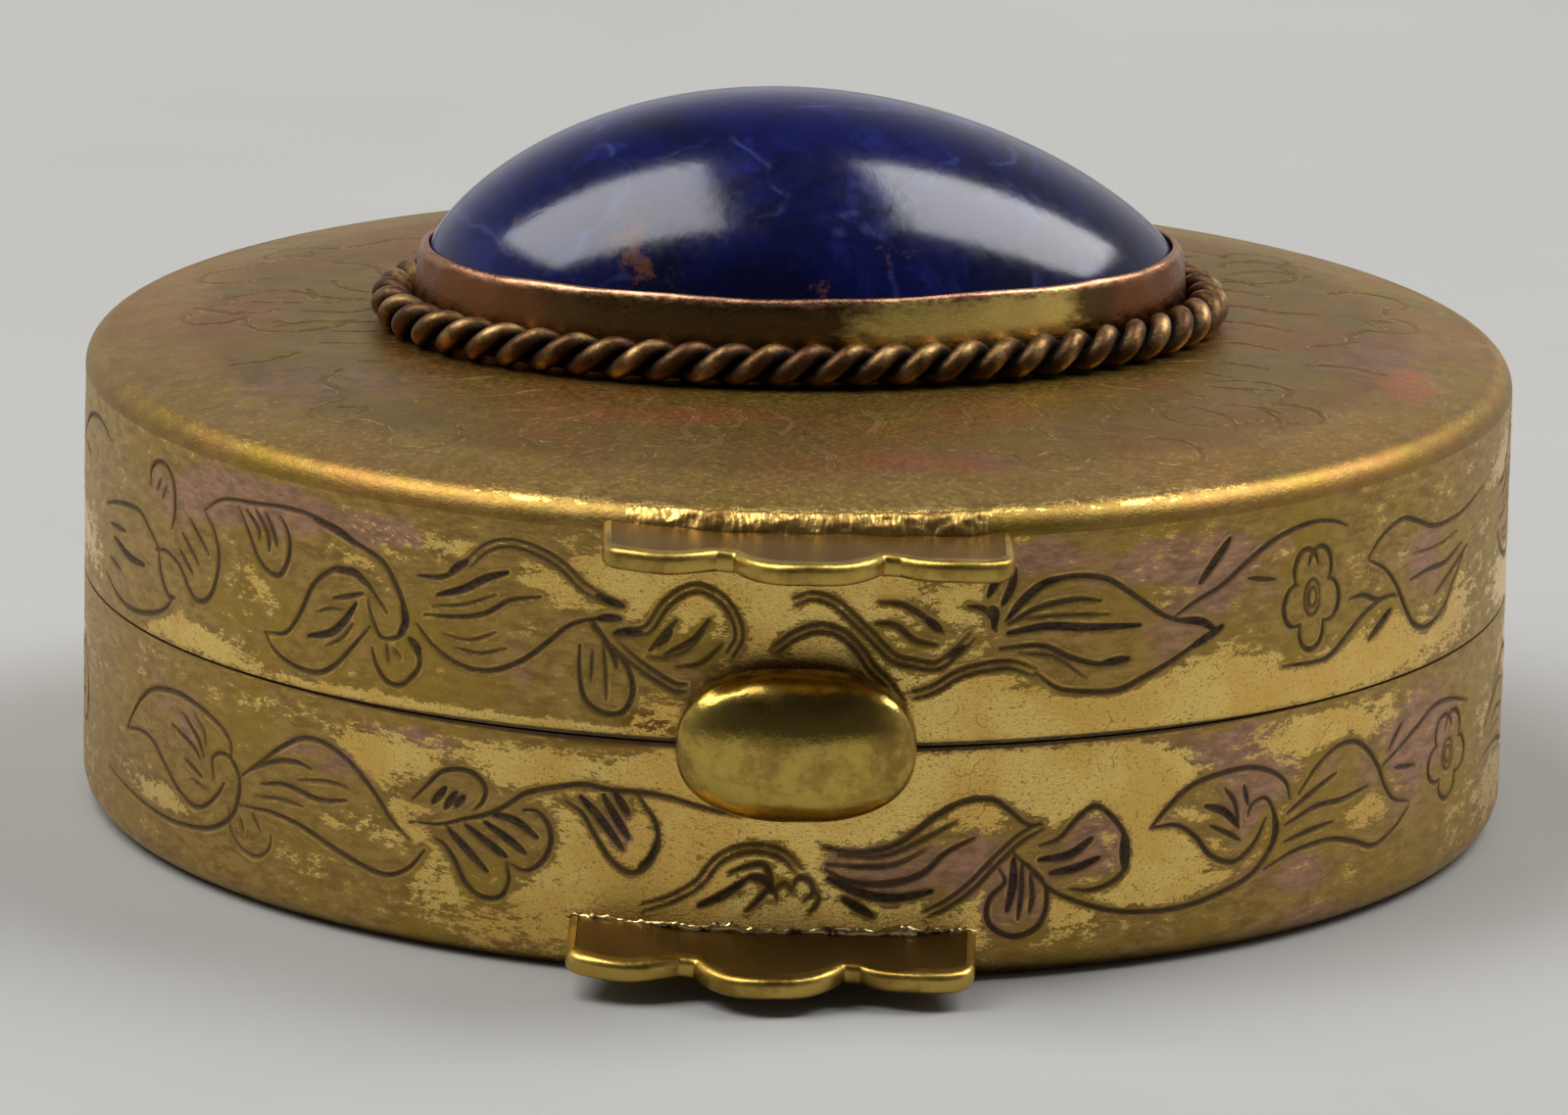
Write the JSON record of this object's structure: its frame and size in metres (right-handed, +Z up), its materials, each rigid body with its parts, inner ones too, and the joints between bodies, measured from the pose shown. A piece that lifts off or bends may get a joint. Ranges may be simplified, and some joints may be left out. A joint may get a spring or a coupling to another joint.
{
  "type": "hinged needle case",
  "caption": "Round hinged brass needle case with engraved walls, push-button catch, scalloped thumb tabs and an oval cabochon in a rope-edged bezel on the lid.",
  "frame": {"origin": "centre of the round underside, on the surface that the case rests on", "axes": "+Z up, -Y towards the front with the button and thumb tabs, +Y towards the hinge, +X to the right seen from the front"},
  "size_m": [0.05, 0.0573, 0.0252],
  "materials": {
    "engraved_brass": "worn gilt over engraved brass, tarnished in the recesses",
    "cast_brass": "satin cast brass",
    "button_brass": "smooth polished brass with an olive tone",
    "copper_brass": "copper-brown, oxidised in the hollows",
    "steel": "plain spring steel",
    "blue_stone": "polished deep blue stone with pale veins",
    "card": "plain card",
    "velvet": "short-pile velvet"
  },
  "bodies": {
    "base": {"base_shell": "engraved_brass", "base_collar": "cast_brass", "base_tab": "cast_brass", "hinge_base_leaf": "cast_brass", "hinge_pin": "cast_brass", "catch_spring": "steel", "spring_rivets": "cast_brass", "pad_card": "card", "needle_pad": "velvet"},
    "lid": {"lid_shell": "engraved_brass", "lid_tab": "cast_brass", "hinge_lid_leaf": "cast_brass", "catch_keeper": "cast_brass", "lining_card": "card", "lid_lining": "velvet", "setting_plate": "copper_brass", "bezel_wall": "copper_brass", "cabochon": "blue_stone", "rope_strand_a": "copper_brass", "rope_strand_b": "copper_brass"},
    "button": {"button_dome": "button_brass", "button_stem": "button_brass", "catch_nose": "cast_brass"}
  },
  "joints": [
    {"name": "lid_hinge", "type": "hinge", "parent": "base", "child": "lid", "pos_m": [0, 0.0262, 0.0082], "axis": [-1, 0, 0], "range_deg": [0, 105]},
    {"name": "button_press", "type": "slide", "parent": "base", "child": "button", "axis": [0, 1, 0], "range_m": [0, 0.0007], "stiffness_N_per_m": 400, "springref_m": -0.0008, "deforming": ["catch_spring"]}
  ]
}
